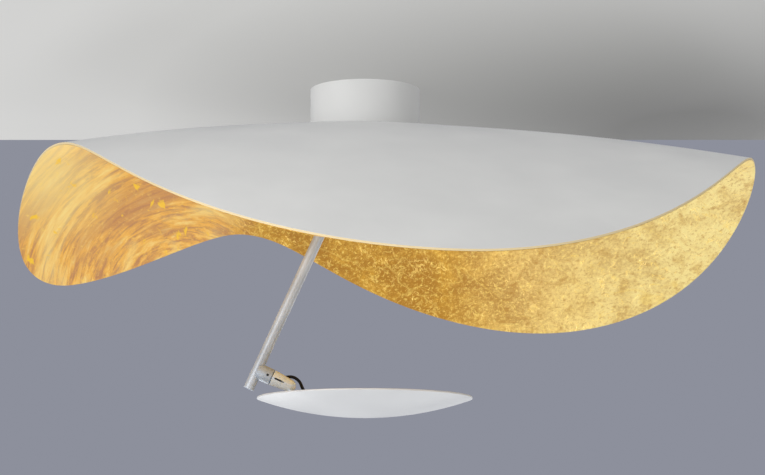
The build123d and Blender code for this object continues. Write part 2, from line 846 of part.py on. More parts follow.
def lead_grommet():
    """Rubber grommet where the jumper lead leaves the barrel."""
    outer = socket_radius + grommet_height
    body = lead_exit(grommet_radius, outer, socket_chamber_radius)
    body -= barrel(running_clearance)
    return body - lead_exit(lead_radius + thread_clearance, outer)


def disc_springs():
    """Stack of coned discs that presses the seat on the ball."""
    discs = []
    pitch = (cup_start() - shoulder_reach) / disc_spring_count
    outer = seat_radius - hole_clearance
    for index in range(disc_spring_count):
        low = shoulder_reach + index * pitch
        profile = Polyline(
            (disc_spring_bore_radius, low + disc_spring_rise),
            (outer, low),
            (outer, low + disc_spring_thickness),
            (disc_spring_bore_radius, low + disc_spring_rise + disc_spring_thickness),
            close=True,
        )
        discs.append(arm_plane * revolve(Plane.XZ * make_face(profile), Axis.Z))
    return discs


def cup_start():
    """Reach of the seat cup's back."""
    return ball_reach - seat_radius - cup_wall


def ball_seat_cup():
    """Bronze cup behind the ball."""
    body = along(arm_plane, seat_radius - running_clearance, cup_start(), cup_start() + cup_overlap)
    return body - Pos(*ball_centre) * Sphere(seat_radius)


def socket_ring():
    """Tapered ring that keeps the ball in, slotted on one side for the neck."""
    reach = ball_reach + ring_lip
    profile = Polyline(
        (0, socket_end), (socket_end_radius, socket_end), (ring_lip_radius, reach), (0, reach), close=True
    )
    body = arm_plane * revolve(Plane.XZ * make_face(profile), Axis.Z)
    body -= Pos(*ball_centre) * Sphere(seat_radius)
    body -= along(arm_plane, seat_radius, socket_end, ball_reach)
    channel_width = 2 * (neck_radius + hole_clearance)
    for angle in range(-int(tilt_up), int(tilt_down) + 1, 2):
        body -= neck_sweep(angle, channel_width / 2)
    return body


def neck_sweep(angle, radius):
    """Neck-shaped cutter at one tilt of the ball."""
    cutter = Pos(0, 0, -ball_radius) * Cylinder(radius, 2 * ball_radius)
    return Pos(*ball_centre) * Rot(0, angle, 0) * cutter


def ball_stud():
    """Ball, neck, round base and threaded shank in one piece."""
    x = ball_centre.X
    body = Pos(*ball_centre) * Sphere(ball_radius)
    body += Pos(x, 0, 0) * drum(neck_radius, plate_top, ball_centre.Z)
    base = drum(stud_base_radius, plate_top, plate_top + stud_base_height)
    base = fillet(base.edges().filter_by(GeomType.CIRCLE).sort_by(Axis.Z)[-1], stud_base_height / 5)
    body += Pos(x, 0, 0) * base
    return body + Pos(x, 0, 0) * drum(stud_shank_radius, stud_end(), plate_top)


def stud_end():
    """Level of the stud's threaded end."""
    stack = plate_thickness + stiffener_thickness + stud_washer_thickness + stud_nut_height
    return plate_top - stack - stud_thread_end


def stud_stiffener():
    """Plate under the dish's top that spreads the stud's load."""
    body = Box(stiffener_length, stiffener_width, stiffener_thickness)
    body = fillet(body.edges().filter_by(Axis.Z), stiffener_width / 5)
    low = plate_base - stiffener_thickness
    body = Pos(ball_centre.X, 0, low + stiffener_thickness / 2) * body
    return body - Pos(ball_centre.X, 0, 0) * drum(stud_shank_radius + hole_clearance, low, plate_base)


def stud_washer():
    """Washer above the stud's nut."""
    high = plate_base - stiffener_thickness
    ring = drum(stud_washer_radius, high - stud_washer_thickness, high, stud_shank_radius + thread_clearance)
    return Pos(ball_centre.X, 0, 0) * ring


def stud_nut():
    """Nut that fixes the stud to the dish."""
    high = plate_base - stiffener_thickness - stud_washer_thickness
    nut = hexagon(stud_nut_flats, high - stud_nut_height, high, stud_shank_radius + thread_clearance)
    return Pos(ball_centre.X, 0, 0) * nut


# Dish of light


def dish_cap(radius, level):
    """Solid below a level and inside a sphere that shares the dish's centre."""
    ball = Pos(0, 0, dish_sphere_level) * Sphere(radius)
    keep = drum(dish_radius, level - 2 * dish_depth, level)
    return ball & keep


def post_places():
    """Plan places of the dish's screw posts."""
    bearings = [post_first_bearing + index * 360 / post_count for index in range(post_count)]
    return [(post_circle_radius * cos(radians(b)), post_circle_radius * sin(radians(b))) for b in bearings]


def dish_shell():
    """Shallow spun dish, convex below, with a thick rim and screw posts inside."""
    high = rim_level + dish_rim_rise
    body = dish_cap(dish_sphere_radius, rim_level) + drum(dish_radius, rim_level, high)
    body = fillet(body.edges().filter_by(GeomType.CIRCLE).sort_by(Axis.Z)[-1], dish_rim_round)
    hollow = dish_cap(dish_sphere_radius - dish_wall, rim_level)
    hollow = hollow & drum(dish_radius - dish_rim_width, rim_level - 2 * dish_depth, high)
    body -= hollow + drum(dish_radius - dish_rim_width, rim_level, high)
    outer = dish_cap(dish_sphere_radius, plate_base)
    for place in post_places():
        post = Pos(*place, 0) * drum(post_radius, rim_level - dish_depth, plate_base)
        body += post & outer
        body -= Pos(*place, 0) * drum(small_screw_radius + thread_clearance, plate_base - screw_grip, plate_base)
    return body


def sink_tab_places():
    """Plan places of the heat sink's screws."""
    reach = sink_radius + sink_tab_reach / 2
    bearings = [sink_tab_first_bearing + index * 360 / sink_tab_count for index in range(sink_tab_count)]
    return [(reach * cos(radians(b)), reach * sin(radians(b))) for b in bearings]


def dish_top_plate():
    """Flat white plate with a round window, pierced for the stud, the lead and the screws."""
    body = drum(plate_radius, plate_base, plate_top, plate_window_radius)
    for place in post_places() + sink_tab_places():
        body -= Pos(*place, 0) * drum(small_screw_radius + hole_clearance, plate_base, plate_top)
    body = dish_place * body
    body -= Pos(ball_centre.X, 0, 0) * drum(stud_shank_radius + hole_clearance, plate_base, plate_top)
    return body - Pos(*lead_landing, 0) * drum(lead_radius + hole_clearance, plate_base, plate_top)


def plate_screws(places, grip):
    """Low-headed screws down through the plate."""
    one = screw(small_screw_radius, plate_thickness + grip, small_screw_head_radius, socket_recess_depth * 1.5)
    return [dish_place * Pos(*place, plate_top) * one for place in places]


def heat_sink():
    """Shallow aluminium pan that carries the board, with four screw tabs."""
    body = drum(sink_radius, sink_base, plate_base) - drum(sink_inner_radius, board_base, plate_base)
    tab = Box(sink_wall + sink_tab_reach, sink_tab_width, sink_tab_thickness)
    tab_middle = sink_inner_radius + (sink_wall + sink_tab_reach) / 2
    tab = Pos(tab_middle, 0, plate_base - sink_tab_thickness / 2) * tab
    for index in range(sink_tab_count):
        body += at_bearing(tab, sink_tab_first_bearing + index * 360 / sink_tab_count)
    body -= drum(sink_inner_radius, board_base, plate_base)
    for place in sink_tab_places():
        body -= Pos(*place, 0) * drum(small_screw_radius + thread_clearance, plate_base - sink_tab_thickness, plate_base)
    notch_width = 2 * (wire_spread + wire_radius + hole_clearance)
    notch = Box(4 * sink_wall, notch_width, plate_base - board_base)
    return body - Pos(-sink_radius, lead_landing[1], (plate_base + board_base) / 2) * notch


def led_board():
    """Round board under the emitters."""
    return drum(board_radius, board_base, board_top)


def led_emitters():
    """Rings of small emitters on the board."""
    chips = []
    for inset, count in emitter_rings:
        for index in range(count):
            chip = Pos(reflector_foot_radius - inset, 0, board_top + emitter_height / 2) * Box(emitter_length, emitter_width, emitter_height)
            chips.append(dish_place * at_bearing(chip, index * 360 / count))
    return chips


def reflector_ring():
    """White cone that throws the light up to the diffuser."""
    top = diffuser_flange_base - retainer_thickness
    low_radius = reflector_foot_radius - reflector_wall
    profile = Polyline(
        (low_radius, board_top),
        (low_radius + reflector_wall, board_top),
        (reflector_top_radius + reflector_wall, top),
        (reflector_top_radius, top),
        close=True,
    )
    return revolve(Plane.XZ * make_face(profile), Axis.Z)


def diffuser():
    """Opal disc, stepped so that the plate holds it down."""
    body = drum(diffuser_radius, diffuser_flange_top, plate_top)
    return body + drum(diffuser_radius + diffuser_step, diffuser_flange_base, diffuser_flange_top)


def diffuser_gasket():
    """Soft ring between the diffuser's flange and the plate."""
    return drum(diffuser_radius + diffuser_step, diffuser_flange_top, plate_base, diffuser_radius + running_clearance)


def diffuser_retainer():
    """Ring in the heat sink that holds the diffuser up."""
    low = diffuser_flange_base - retainer_thickness
    outer = sink_inner_radius - running_clearance
    return drum(outer, low, diffuser_flange_base, outer - retainer_width)


# Jumper lead


def lead_gland():
    """Gland on the dish's top where the jumper lead goes in."""
    nib_top = plate_top + gland_height + gland_nib_height
    body = drum(gland_radius, plate_top, plate_top + gland_height) + drum(gland_nib_radius, plate_top, nib_top)
    body -= drum(lead_radius + thread_clearance, plate_top, nib_top)
    return Pos(*lead_landing, 0) * body


def jumper_points():
    """Route of the jumper lead from the insert through the grommet to the dish's gland."""
    x, y = lead_landing
    over_gland = (x, y, plate_top + jumper_last_rise)
    start = lead_exit_point(lead_start_radius)
    return [start, lead_exit_point(jumper_first_reach), *jumper_middle_points, over_gland, (x, y, plate_top)]


def jumper_lead():
    """Short black cable that bridges the ball joint."""
    return tube(jumper_points(), lead_radius, "jumper lead")


def led_wires():
    """Two wires from the gland down and through the heat sink's wall to the board."""
    x, y = lead_landing
    far = dish_place.position.X - led_wire_reach
    centre = (x + led_wire_bend, led_wire_level + led_wire_bend)
    corners = bend_corners(centre, led_wire_bend, 180, 270, small_bend_turns)
    points = [(x, y, plate_top), *[(across, y, up) for across, up in corners], (far, y, led_wire_level)]
    return wire_pair(points, Plane.XZ, "board wire")


os.makedirs("parts", exist_ok=True)

write_part("ceiling_bracket", ceiling_bracket())
write_part("canopy_cup", canopy_cup())
write_group("canopy_screws", canopy_screws())
write_part("cable_clamp", cable_clamp())
write_group("clamp_screws", clamp_screws())
write_part("earth_washer", earth_washer())
write_part("earth_screw", earth_screw())
write_part("led_driver", led_driver())
write_group("driver_screws", driver_screws())
write_part("terminal_block", terminal_block())
write_group("terminal_screws", terminal_screws())
write_group("terminal_block_screws", terminal_block_screws())
write_group("mains_leads", mains_leads())
write_part("driver_lead", driver_lead())
underside = shade_underside()
write_part("shade_shell", shade_shell(underside))
write_part("shade_lining", shade_lining(underside))
write_part("shade_gasket", shade_gasket())
write_part("hub_bush", hub_bush())
write_part("hub_lock_nut", hub_lock_nut())
write_part("swivel_washer", swivel_washer())
write_part("stem_knuckle", stem_knuckle())
write_group("stem_grub_screws", stem_grub_screws())
write_part("spindle_spring", spindle_spring())
write_part("spindle_nut", spindle_nut())
write_part("stem_tube", stem_tube())
write_part("stem_end_plug", stem_end_plug())
write_part("side_block", side_block())
write_part("block_set_screw", block_set_screw())
write_group("stem_wires", stem_wires())
write_part("ball_socket", ball_socket())
write_part("socket_ring", socket_ring())
write_part("ball_seat_cup", ball_seat_cup())
write_group("disc_springs", disc_springs())
write_group("socket_wires", socket_wires())
write_part("lead_insert", lead_insert())
write_part("lead_grommet", lead_grommet())
write_part("jumper_lead", jumper_lead())
write_part("ball_stud", ball_stud())
write_part("stud_stiffener", stud_stiffener())
write_part("stud_washer", stud_washer())
write_part("stud_nut", stud_nut())
write_part("dish_shell", dish_place * dish_shell())
write_part("dish_top_plate", dish_top_plate())
write_group("dish_screws", plate_screws(post_places(), screw_grip))
write_part("heat_sink", dish_place * heat_sink())
write_group("sink_screws", plate_screws(sink_tab_places(), sink_tab_thickness))
write_part("led_board", dish_place * led_board())
write_group("led_emitters", led_emitters())
write_part("reflector_ring", dish_place * reflector_ring())
write_part("diffuser", dish_place * diffuser())
write_part("diffuser_gasket", dish_place * diffuser_gasket())
write_part("diffuser_retainer", dish_place * diffuser_retainer())
write_part("lead_gland", lead_gland())
write_group("led_wires", led_wires())
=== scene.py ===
"""Looks of the ceiling light: finishes, the waved shade, the jumper lead, the studio and the camera."""

import math

import bmesh
import bpy
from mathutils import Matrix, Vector


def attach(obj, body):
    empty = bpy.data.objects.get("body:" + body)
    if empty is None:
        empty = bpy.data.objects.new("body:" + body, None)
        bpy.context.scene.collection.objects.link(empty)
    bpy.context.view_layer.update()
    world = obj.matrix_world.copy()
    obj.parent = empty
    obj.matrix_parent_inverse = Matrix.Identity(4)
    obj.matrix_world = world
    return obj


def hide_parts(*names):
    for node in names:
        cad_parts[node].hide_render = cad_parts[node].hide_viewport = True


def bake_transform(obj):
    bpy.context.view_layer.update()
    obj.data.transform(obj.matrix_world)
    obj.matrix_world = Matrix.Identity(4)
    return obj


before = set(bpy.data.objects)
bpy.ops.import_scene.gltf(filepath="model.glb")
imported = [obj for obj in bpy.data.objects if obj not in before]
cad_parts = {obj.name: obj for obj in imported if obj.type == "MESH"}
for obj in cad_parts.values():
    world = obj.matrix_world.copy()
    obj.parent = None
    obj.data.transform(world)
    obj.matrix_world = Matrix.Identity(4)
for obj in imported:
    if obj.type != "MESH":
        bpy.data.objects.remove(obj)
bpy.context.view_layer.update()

bl_info = {
    "name": "Ceiling Light",
    "version": (1, 0, 0),
    "blender": (4, 5, 0),
    "location": "View3D > Sidebar > Ceiling Light",
    "description": "Dresses the ceiling light's frame with its shade, finishes, lead and studio",
    "category": "Object",
}

MM = 0.001

# Bearing in degrees, fall below the flat and reach from the hub in millimetres
SHADE_STATIONS = (
    (-79.5, 243.5, 600.0),
    (-11.0, 58.5, 517.0),
    (60.0, 210.5, 580.0),
    (120.0, 86.5, 360.0),
    (155.0, 174.5, 490.0),
    (204.5, 52.5, 437.0),
)
WALL_LEAN = 0.05

# Millimetres, from inside the barrel to inside the dish
JUMPER_ROUTE = (
    (-114.8, 2.5, -391.1),
    (-113.9, 16.0, -389.0),
    (-106.5, 23.4, -385.4),
    (-95.4, 23.5, -384.6),
    (-86.7, 21.9, -391.3),
    (-83.4, 14.3, -400.1),
    (-79.6, 13.0, -406.9),
    (-79.6, 13.0, -415.0),
)

STEM_SLANT = (-0.4147, 0, -0.9100)

# Where the leaf's patterns lie, in the flat space of slanted_space
FOLD_WIDTH = 0.09
FOLD_DROP = 0.168
STREAK_CENTRE = (-0.235, -0.300, 0)
PALE_PATCH_PLACE = (-0.425, -0.112, 0)
COMBED_FROM = -0.15
COMBED_TO = -0.21

CAMERA_PLACE = (0.0235, -3.168, -0.683)
CAMERA_PITCH = 8.66
CAMERA_LENS = 112.87
WORLD_LIGHT = 0.55
BACKDROP = (0.266, 0.278, 0.332, 1)
# Centre of the painted shadow in the ceiling panel's glow, right of the canopy
CEILING_SHADOW = (0.47, 0.20, 0.0)

# Name, place, aim, size and power
LAMPS = (
    ("key_softbox", (-1.9, -2.3, -0.15), (0, 0, -0.2), 1.6, 42),
    ("fill_softbox", (2.2, -2.0, -1.0), (0, 0, -0.2), 1.8, 5),
    ("under_softbox", (0.2, -1.3, -1.9), (0.05, 0, -0.2), 1.6, 17),
    ("back_left_softbox", (-1.4, 1.9, -1.7), (0.2, 0, -0.2), 1.5, 40),
    ("back_right_softbox", (1.6, 1.9, -1.7), (-0.2, 0, -0.2), 1.5, 26),
)


def length_field(name, description, default):
    """Field for a length in metres."""
    return bpy.props.FloatProperty(name=name, description=description, default=default, unit="LENGTH")


def colour_field(name, description, default):
    """Field for a colour."""
    return bpy.props.FloatVectorProperty(
        name=name, description=description, subtype="COLOR", default=default
    )


class ShadeSizes(bpy.types.PropertyGroup):
    """Sizes of the waved shade."""

    flat_radius: length_field("Flat Radius", "Radius of the flat clamped at the hub", 0.060)
    hole_radius: length_field("Hole Radius", "Radius of the hole for the hub", 0.0123)
    underside: length_field("Underside", "Level of the flat's underside", -0.0616)
    thickness: length_field("Thickness", "Upright thickness of the sheet", 0.0025)
    lining_gap: length_field("Lining Gap", "Gap between the sheet and the leaf's backing", 0.0002)
    lining_thickness: length_field("Lining Thickness", "Thickness of the leaf and its backing", 0.0004)
    fall_power: bpy.props.FloatProperty(
        name="Fall", description="Power of the fall from the flat to the rim", default=1.6
    )
    spokes: bpy.props.IntProperty(name="Spokes", description="Steps round the shade", default=288)
    rings: bpy.props.IntProperty(name="Rings", description="Steps from the hole to the rim", default=72)


class FinishColours(bpy.types.PropertyGroup):
    """Colours of the main finishes."""

    shade_white: colour_field("Shade White", "Lacquer of the shade's top", (0.87, 0.87, 0.85))
    dish_white: colour_field("Dish White", "Lacquer of the dish", (0.60, 0.61, 0.62))
    leaf_gold: colour_field("Leaf Gold", "Main tone of the crushed leaf", (0.85, 0.47, 0.055))
    leaf_ochre: colour_field("Leaf Ochre", "Deep tone of the crushed leaf", (0.50, 0.23, 0.022))
    # The palest tone is the cream of the combed leaf and also the painted light on the right of the
    # crushed leaf
    leaf_pale: colour_field("Leaf Pale", "Palest tone of the leaf", (1.0, 0.82, 0.33))
    leaf_bright: colour_field("Leaf Bright", "Crinkles and fine grain of the leaf", (1.0, 0.72, 0.16))
    leaf_fleck: colour_field("Leaf Fleck", "Deep yellow flecks of the combed leaf", (1.0, 0.62, 0.03))
    leaf_orange: colour_field("Leaf Orange", "Main tone of the combed leaf", (0.92, 0.49, 0.080))
    leaf_mauve: colour_field("Leaf Mauve", "Darkest streaks of the combed leaf", (0.58, 0.27, 0.10))
    leaf_edge: colour_field("Leaf Edge", "Raw edge of the shade", (0.80, 0.64, 0.36))
    # Steel and nickel are tinted blue as painted light, cancelling the gold light that the leaf reflects
    # onto them
    steel: colour_field("Steel", "Satin steel of the stem", (0.58, 0.645, 0.73))
    nickel: colour_field("Nickel", "Polished plate of the ball joint", (0.80, 0.90, 1.0))
    lead_black: colour_field("Lead Black", "Sheath of the leads", (0.012, 0.012, 0.013))


class LeadSizes(bpy.types.PropertyGroup):
    """Sizes of the jumper lead."""

    radius: length_field("Radius", "Radius of the jumper lead", 0.0021)


# Finishes


class Patterns:
    """Short ways to add pattern nodes to one node tree."""

    def __init__(self, tree):
        self.nodes = tree.nodes
        self.links = tree.links

    def space(self, stretch=(1, 1, 1), turn=(0, 0, 0)):
        """Object coordinates, turned and stretched."""
        place = self.nodes.new("ShaderNodeTexCoord")
        mapping = self.nodes.new("ShaderNodeMapping")
        mapping.vector_type = "TEXTURE"
        mapping.inputs["Rotation"].default_value = turn
        mapping.inputs["Scale"].default_value = stretch
        self.links.new(place.outputs["Object"], mapping.inputs["Vector"])
        return mapping.outputs["Vector"]

    def noise(self, vector, scale, detail=4.0, roughness=0.55, distortion=0.0):
        """Cloudy pattern on a vector."""
        noise = self.nodes.new("ShaderNodeTexNoise")
        noise.inputs["Scale"].default_value = scale
        noise.inputs["Detail"].default_value = detail
        noise.inputs["Roughness"].default_value = roughness
        noise.inputs["Distortion"].default_value = distortion
        self.links.new(vector, noise.inputs["Vector"])
        return noise.outputs["Fac"]

    def spread(self, value, low, high, to_low=0.0, to_high=1.0):
        """Remap a value from one span to another."""
        remap = self.nodes.new("ShaderNodeMapRange")
        remap.inputs["From Min"].default_value = low
        remap.inputs["From Max"].default_value = high
        remap.inputs["To Min"].default_value = to_low
        remap.inputs["To Max"].default_value = to_high
        self.links.new(value, remap.inputs["Value"])
        return remap.outputs["Result"]

    def blend(self, share, first, second):
        """Mix two colours, each a socket or a plain colour, by a share."""
        mix = self.nodes.new("ShaderNodeMix")
        mix.data_type = "RGBA"
        for socket, colour in zip((mix.inputs[6], mix.inputs[7]), (first, second)):
            if isinstance(colour, bpy.types.NodeSocket):
                self.links.new(colour, socket)
            else:
                socket.default_value = (*colour, 1)
        self.links.new(share, mix.inputs[0])
        return mix.outputs[2]

    def level(self, share, first, second):
        """Mix two values by a share."""
        mix = self.nodes.new("ShaderNodeMix")
        for socket, value in zip(mix.inputs[:1] + mix.inputs[2:4], (share, first, second)):
            self.links.new(value, socket)
        return mix.outputs[0]

    def sums(self, operation, *values):
        """Arithmetic on sockets and numbers."""
        node = self.nodes.new("ShaderNodeMath")
        node.operation = operation
        for socket, value in zip(node.inputs, values):
            if isinstance(value, bpy.types.NodeSocket):
                self.links.new(value, socket)
            else:
                socket.default_value = value
        return node.outputs["Value"]

    def product(self, first, second):
        """Product of a socket and a socket or a number."""
        return self.sums("MULTIPLY", first, second)

    def split(self, vector):
        """The three parts of a vector."""
        parts = self.nodes.new("ShaderNodeSeparateXYZ")
        self.links.new(vector, parts.inputs["Vector"])
        return parts.outputs

    def plane(self, across, up):
        """Vector from two values."""
        pair = self.nodes.new("ShaderNodeCombineXYZ")
        self.links.new(across, pair.inputs["X"])
        self.links.new(up, pair.inputs["Y"])
        return pair.outputs["Vector"]

    def distance(self, space, place):
        """Distance from a place."""
        gap = self.nodes.new("ShaderNodeVectorMath")
        gap.operation = "DISTANCE"
        gap.inputs[1].default_value = place
        self.links.new(space, gap.inputs[0])
        return gap.outputs["Value"]

    def nearness(self, space, place, near, far):
        """One near a place, falling to nothing at a distance."""
        return self.spread(self.distance(space, place), far, near)

    def crinkles(self, space, scale, width, detail):
        """Thin winding lines where a noise pattern crosses its middle value."""
        pattern = self.noise(space, scale, detail, 0.55, 0.6)
        distance = self.sums("ABSOLUTE", self.sums("SUBTRACT", pattern, 0.5))
        return self.spread(distance, width, 0.0)


class Finish(Patterns):
    """A material under way: its shader and the patterns that feed it."""

    def __init__(self, name, colour, metallic=0.0, roughness=0.5):
        self.material = bpy.data.materials.new(name)
        self.material.use_nodes = True
        super().__init__(self.material.node_tree)
        self.inputs = self.nodes["Principled BSDF"].inputs
        self.inputs["Base Color"].default_value = (*colour, 1)
        self.inputs["Metallic"].default_value = metallic
        self.inputs["Roughness"].default_value = roughness
        self.material.diffuse_color = (*colour, 1)

    def tint(self, share, first, second):
        """Colour the surface with two colours, mixed by a share."""
        self.links.new(self.blend(share, first, second), self.inputs["Base Color"])

    def gloss(self, value, low, high, to_low, to_high):
        """Vary the roughness with a pattern."""
        self.links.new(self.spread(value, low, high, to_low, to_high), self.inputs["Roughness"])

    def grain(self, height, depth, strength=1.0):
        """Bump the surface with a height pattern of a real depth in metres."""
        bump = self.nodes.new("ShaderNodeBump")
        bump.inputs["Strength"].default_value = strength
        bump.inputs["Distance"].default_value = depth
        self.links.new(height, bump.inputs["Height"])
        self.links.new(bump.outputs["Normal"], self.inputs["Normal"])


def shaded(colour, share):
    """A colour, darkened to a share."""
    return tuple(share * part for part in colour)


def lacquer(name, colour, roughness=0.45, peel=0.00003, reflection=0.5):
    """Sprayed lacquer with a faint orange peel and cloudy gloss."""
    finish = Finish(name, colour, 0.0, roughness)
    finish.inputs["Specular IOR Level"].default_value = reflection
    space = finish.space()
    clouds = finish.noise(space, 9, 3)
    finish.tint(finish.spread(clouds, 0.35, 0.65), shaded(colour, 0.955), colour)
    finish.gloss(clouds, 0.3, 0.7, roughness - 0.05, roughness + 0.07)
    finish.grain(finish.noise(space, 420, 2), peel)
    return finish.material


def brushed(name, colour, roughness, along):
    """Satin metal whose fine scratches run along a direction."""
    finish = Finish(name, colour, 0.3, roughness)
    turn = Vector((0, 0, 1)).rotation_difference(Vector(along)).to_euler()
    scratches = finish.noise(finish.space((1, 1, 40), tuple(turn)), 900, 5, 0.7)
    clouds = finish.noise(finish.space(), 35, 3)
    finish.tint(finish.spread(finish.product(scratches, clouds), 0.10, 0.42), shaded(colour, 0.72), colour)
    finish.gloss(scratches, 0.3, 0.7, roughness - 0.08, roughness + 0.12)
    finish.grain(scratches, 0.00001)
    return finish.material


def blasted(name, colour, roughness, depth=0.00002):
    """Bead-blasted or cast metal with an even fine grain."""
    finish = Finish(name, colour, 0.4, roughness)
    space = finish.space()
    grain = finish.noise(space, 1500, 3, 0.7)
    clouds = finish.noise(space, 60, 3)
    finish.tint(finish.spread(clouds, 0.3, 0.7), shaded(colour, 0.80), colour)
    finish.gloss(grain, 0.3, 0.7, roughness - 0.07, roughness + 0.08)
    finish.grain(grain, depth)
    return finish.material


def plated(name, colour, roughness):
    """Bright plating with faint smudges and hairline marks."""
    finish = Finish(name, colour, 0.45, roughness)
    smears = finish.noise(finish.space(), 90, 4, 0.6, 0.6)
    hairs = finish.noise(finish.space((1, 12, 1), (0.4, 0.2, 0.9)), 700, 3)
    tarnish = tuple(part * shade for part, shade in zip(colour, (0.86, 0.82, 0.76)))
    finish.tint(finish.spread(smears, 0.55, 0.8), colour, tarnish)
    finish.gloss(smears, 0.4, 0.8, roughness, roughness + 0.12)
    finish.grain(hairs, 0.000004)
    return finish.material


def moulded(name, colour, roughness=0.5, grain_scale=900, depth=0.00002, reflection=0.4):
    """Moulded plastic or rubber with a fine texture and faint flow marks."""
    finish = Finish(name, colour, 0.0, roughness)
    finish.inputs["Specular IOR Level"].default_value = reflection
    space = finish.space()
    flow = finish.noise(space, 40, 3, 0.5, 1.2)
    finish.tint(finish.spread(flow, 0.3, 0.7), shaded(colour, 0.82), colour)
    finish.gloss(flow, 0.3, 0.7, roughness - 0.06, roughness + 0.1)
    finish.grain(finish.noise(space, grain_scale, 3), depth)
    return finish.material


def opal(name, colour):
    """Opal acrylic that spreads light."""
    finish = Finish(name, colour, 0.0, 0.35)
    finish.inputs["Subsurface Weight"].default_value = 0.25
    finish.inputs["Subsurface Scale"].default_value = 0.004
    space = finish.space()
    finish.tint(finish.spread(finish.noise(space, 30, 2), 0.35, 0.65), shaded(colour, 0.96), colour)
    finish.grain(finish.noise(space, 1800, 2), 0.00001)
    return finish.material


def slanted_space(finish, parts):
    """The shade's width and height, with depth folded in so that the low leaf lies flat in it."""
    across = finish.sums("ADD", parts["X"], finish.product(parts["Y"], FOLD_WIDTH))
    up = finish.sums("SUBTRACT", parts["Z"], finish.product(parts["Y"], FOLD_DROP))
    return finish.plane(across, up)


def arc_space(finish, flat, along, across):
    """Vector along and across arcs about a point below the neck of the left lobe."""
    parts = finish.split(flat)
    out = finish.sums("SUBTRACT", parts["X"], STREAK_CENTRE[0])
    rise = finish.sums("SUBTRACT", parts["Y"], STREAK_CENTRE[1])
    turn = finish.sums("ARCTAN2", rise, out)
    reach = finish.distance(flat, STREAK_CENTRE)
    return finish.plane(finish.product(turn, along), finish.product(reach, across))


def crushed_leaf(finish, flat, across, tones):
    """Crushed leaf: ochre clouds, fine grain, crinkles and long folds, with painted light making it paler
    toward the right.
    """
    gold, ochre, pale, bright = tones
    clouds = finish.noise(flat, 11, 6, 0.66, 0.8)
    grain = finish.noise(flat, 190, 4, 0.85, 0.3)
    dust = finish.noise(flat, 34, 6, 0.72, 0.5)
    base = finish.blend(finish.spread(clouds, 0.44, 0.66), ochre, gold)
    base = finish.blend(finish.spread(dust, 0.52, 0.38, 0.0, 0.7), base, ochre)
    base = finish.blend(finish.spread(grain, 0.52, 0.66, 0.0, 0.95), base, bright)
    # Painted light: the leaf is mixed toward the pale tone toward the right, where the right lobe is lit
    # brighter, broken up by the clouds and dust patterns
    light = finish.spread(across, 0.12, 0.42)
    light = finish.product(light, finish.spread(clouds, 0.34, 0.56, 0.45, 1.0))
    light = finish.product(light, finish.spread(dust, 0.36, 0.50, 0.55, 1.0))
    base = finish.blend(light, base, pale)
    base = finish.blend(finish.spread(grain, 0.48, 0.35, 0.0, 0.65), base, ochre)
    folds = finish.crinkles(finish.space((1, 3, 1), (0, 0, -0.3)), 7, 0.008, 3)
    wrinkles = finish.crinkles(finish.space((1, 1.8, 1)), 44, 0.024, 6)
    marks = finish.product(wrinkles, finish.spread(dust, 0.46, 0.58))
    marks = finish.sums("MAXIMUM", marks, finish.product(folds, 0.45))
    base = finish.blend(finish.product(marks, 0.75), base, bright)
    relief = finish.sums("ADD", finish.product(marks, 0.4), finish.product(grain, 0.6))
    return base, relief


def combed_leaf(finish, flat, tones):
    """Leaf brushed out from the neck in long curved streaks of orange, mauve and cream."""
    mauve, orange, cream, bright, fleck = tones
    streaks = finish.noise(arc_space(finish, flat, 3.0, 125.0), 1, 8, 0.72, 0.4)
    bands = finish.noise(arc_space(finish, flat, 1.2, 22.0), 1, 4, 0.55, 0.4)
    grain = finish.noise(flat, 150, 4, 0.8, 0.3)
    flecks = finish.noise(arc_space(finish, flat, 9.0, 42.0), 1, 3, 0.6, 0.3)
    base = finish.blend(finish.spread(streaks, 0.40, 0.52), mauve, orange)
    base = finish.blend(finish.spread(streaks, 0.53, 0.74), base, cream)
    base = finish.blend(finish.spread(bands, 0.50, 0.36, 0.0, 0.7), base, mauve)
    base = finish.blend(finish.spread(bands, 0.54, 0.68, 0.0, 0.5), base, cream)
    # A pale cream patch around one point of the left lobe
    pale_patch = finish.nearness(flat, PALE_PATCH_PLACE, 0.02, 0.11)
    base = finish.blend(finish.product(pale_patch, 0.6), base, cream)
    base = finish.blend(finish.spread(grain, 0.56, 0.70, 0.0, 0.5), base, bright)
    base = finish.blend(finish.spread(flecks, 0.63, 0.69, 0.0, 0.9), base, fleck)
    relief = finish.sums("ADD", finish.product(streaks, 0.6), finish.product(grain, 0.4))
    return base, relief


def gold_leaf(name, colours):
    """Gold leaf, combed on the left lobe and crushed on the others."""
    gold = tuple(colours.leaf_gold)
    pale = tuple(colours.leaf_pale)
    bright = tuple(colours.leaf_bright)
    finish = Finish(name, gold, 0.3, 0.40)
    finish.inputs["Specular IOR Level"].default_value = 0.2
    parts = finish.split(finish.space())
    flat = slanted_space(finish, parts)
    crushed_tones = (gold, tuple(colours.leaf_ochre), pale, bright)
    combed_tones = (
        tuple(colours.leaf_mauve), tuple(colours.leaf_orange), pale, bright, tuple(colours.leaf_fleck)
    )
    crushed, crumple = crushed_leaf(finish, flat, parts["X"], crushed_tones)
    combed, strands = combed_leaf(finish, flat, combed_tones)
    side = finish.spread(parts["X"], COMBED_FROM, COMBED_TO)
    finish.tint(side, crushed, combed)
    height = finish.level(side, crumple, strands)
    finish.gloss(height, 0.3, 0.8, 0.36, 0.50)
    finish.grain(height, 0.0012, 0.7)
    return finish.material


# Pieces


def shown_piece(name, mesh, body, finish, slot, *nodes):
    """Add a finished piece that stands for its CAD nodes, and rides on a body if one is named."""
    piece = bpy.data.objects.new(name, mesh)
    bpy.context.scene.collection.objects.link(piece)
    piece.data.materials.append(finish)
    if body:
        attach(piece, body)
    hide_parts(*nodes)
    return piece


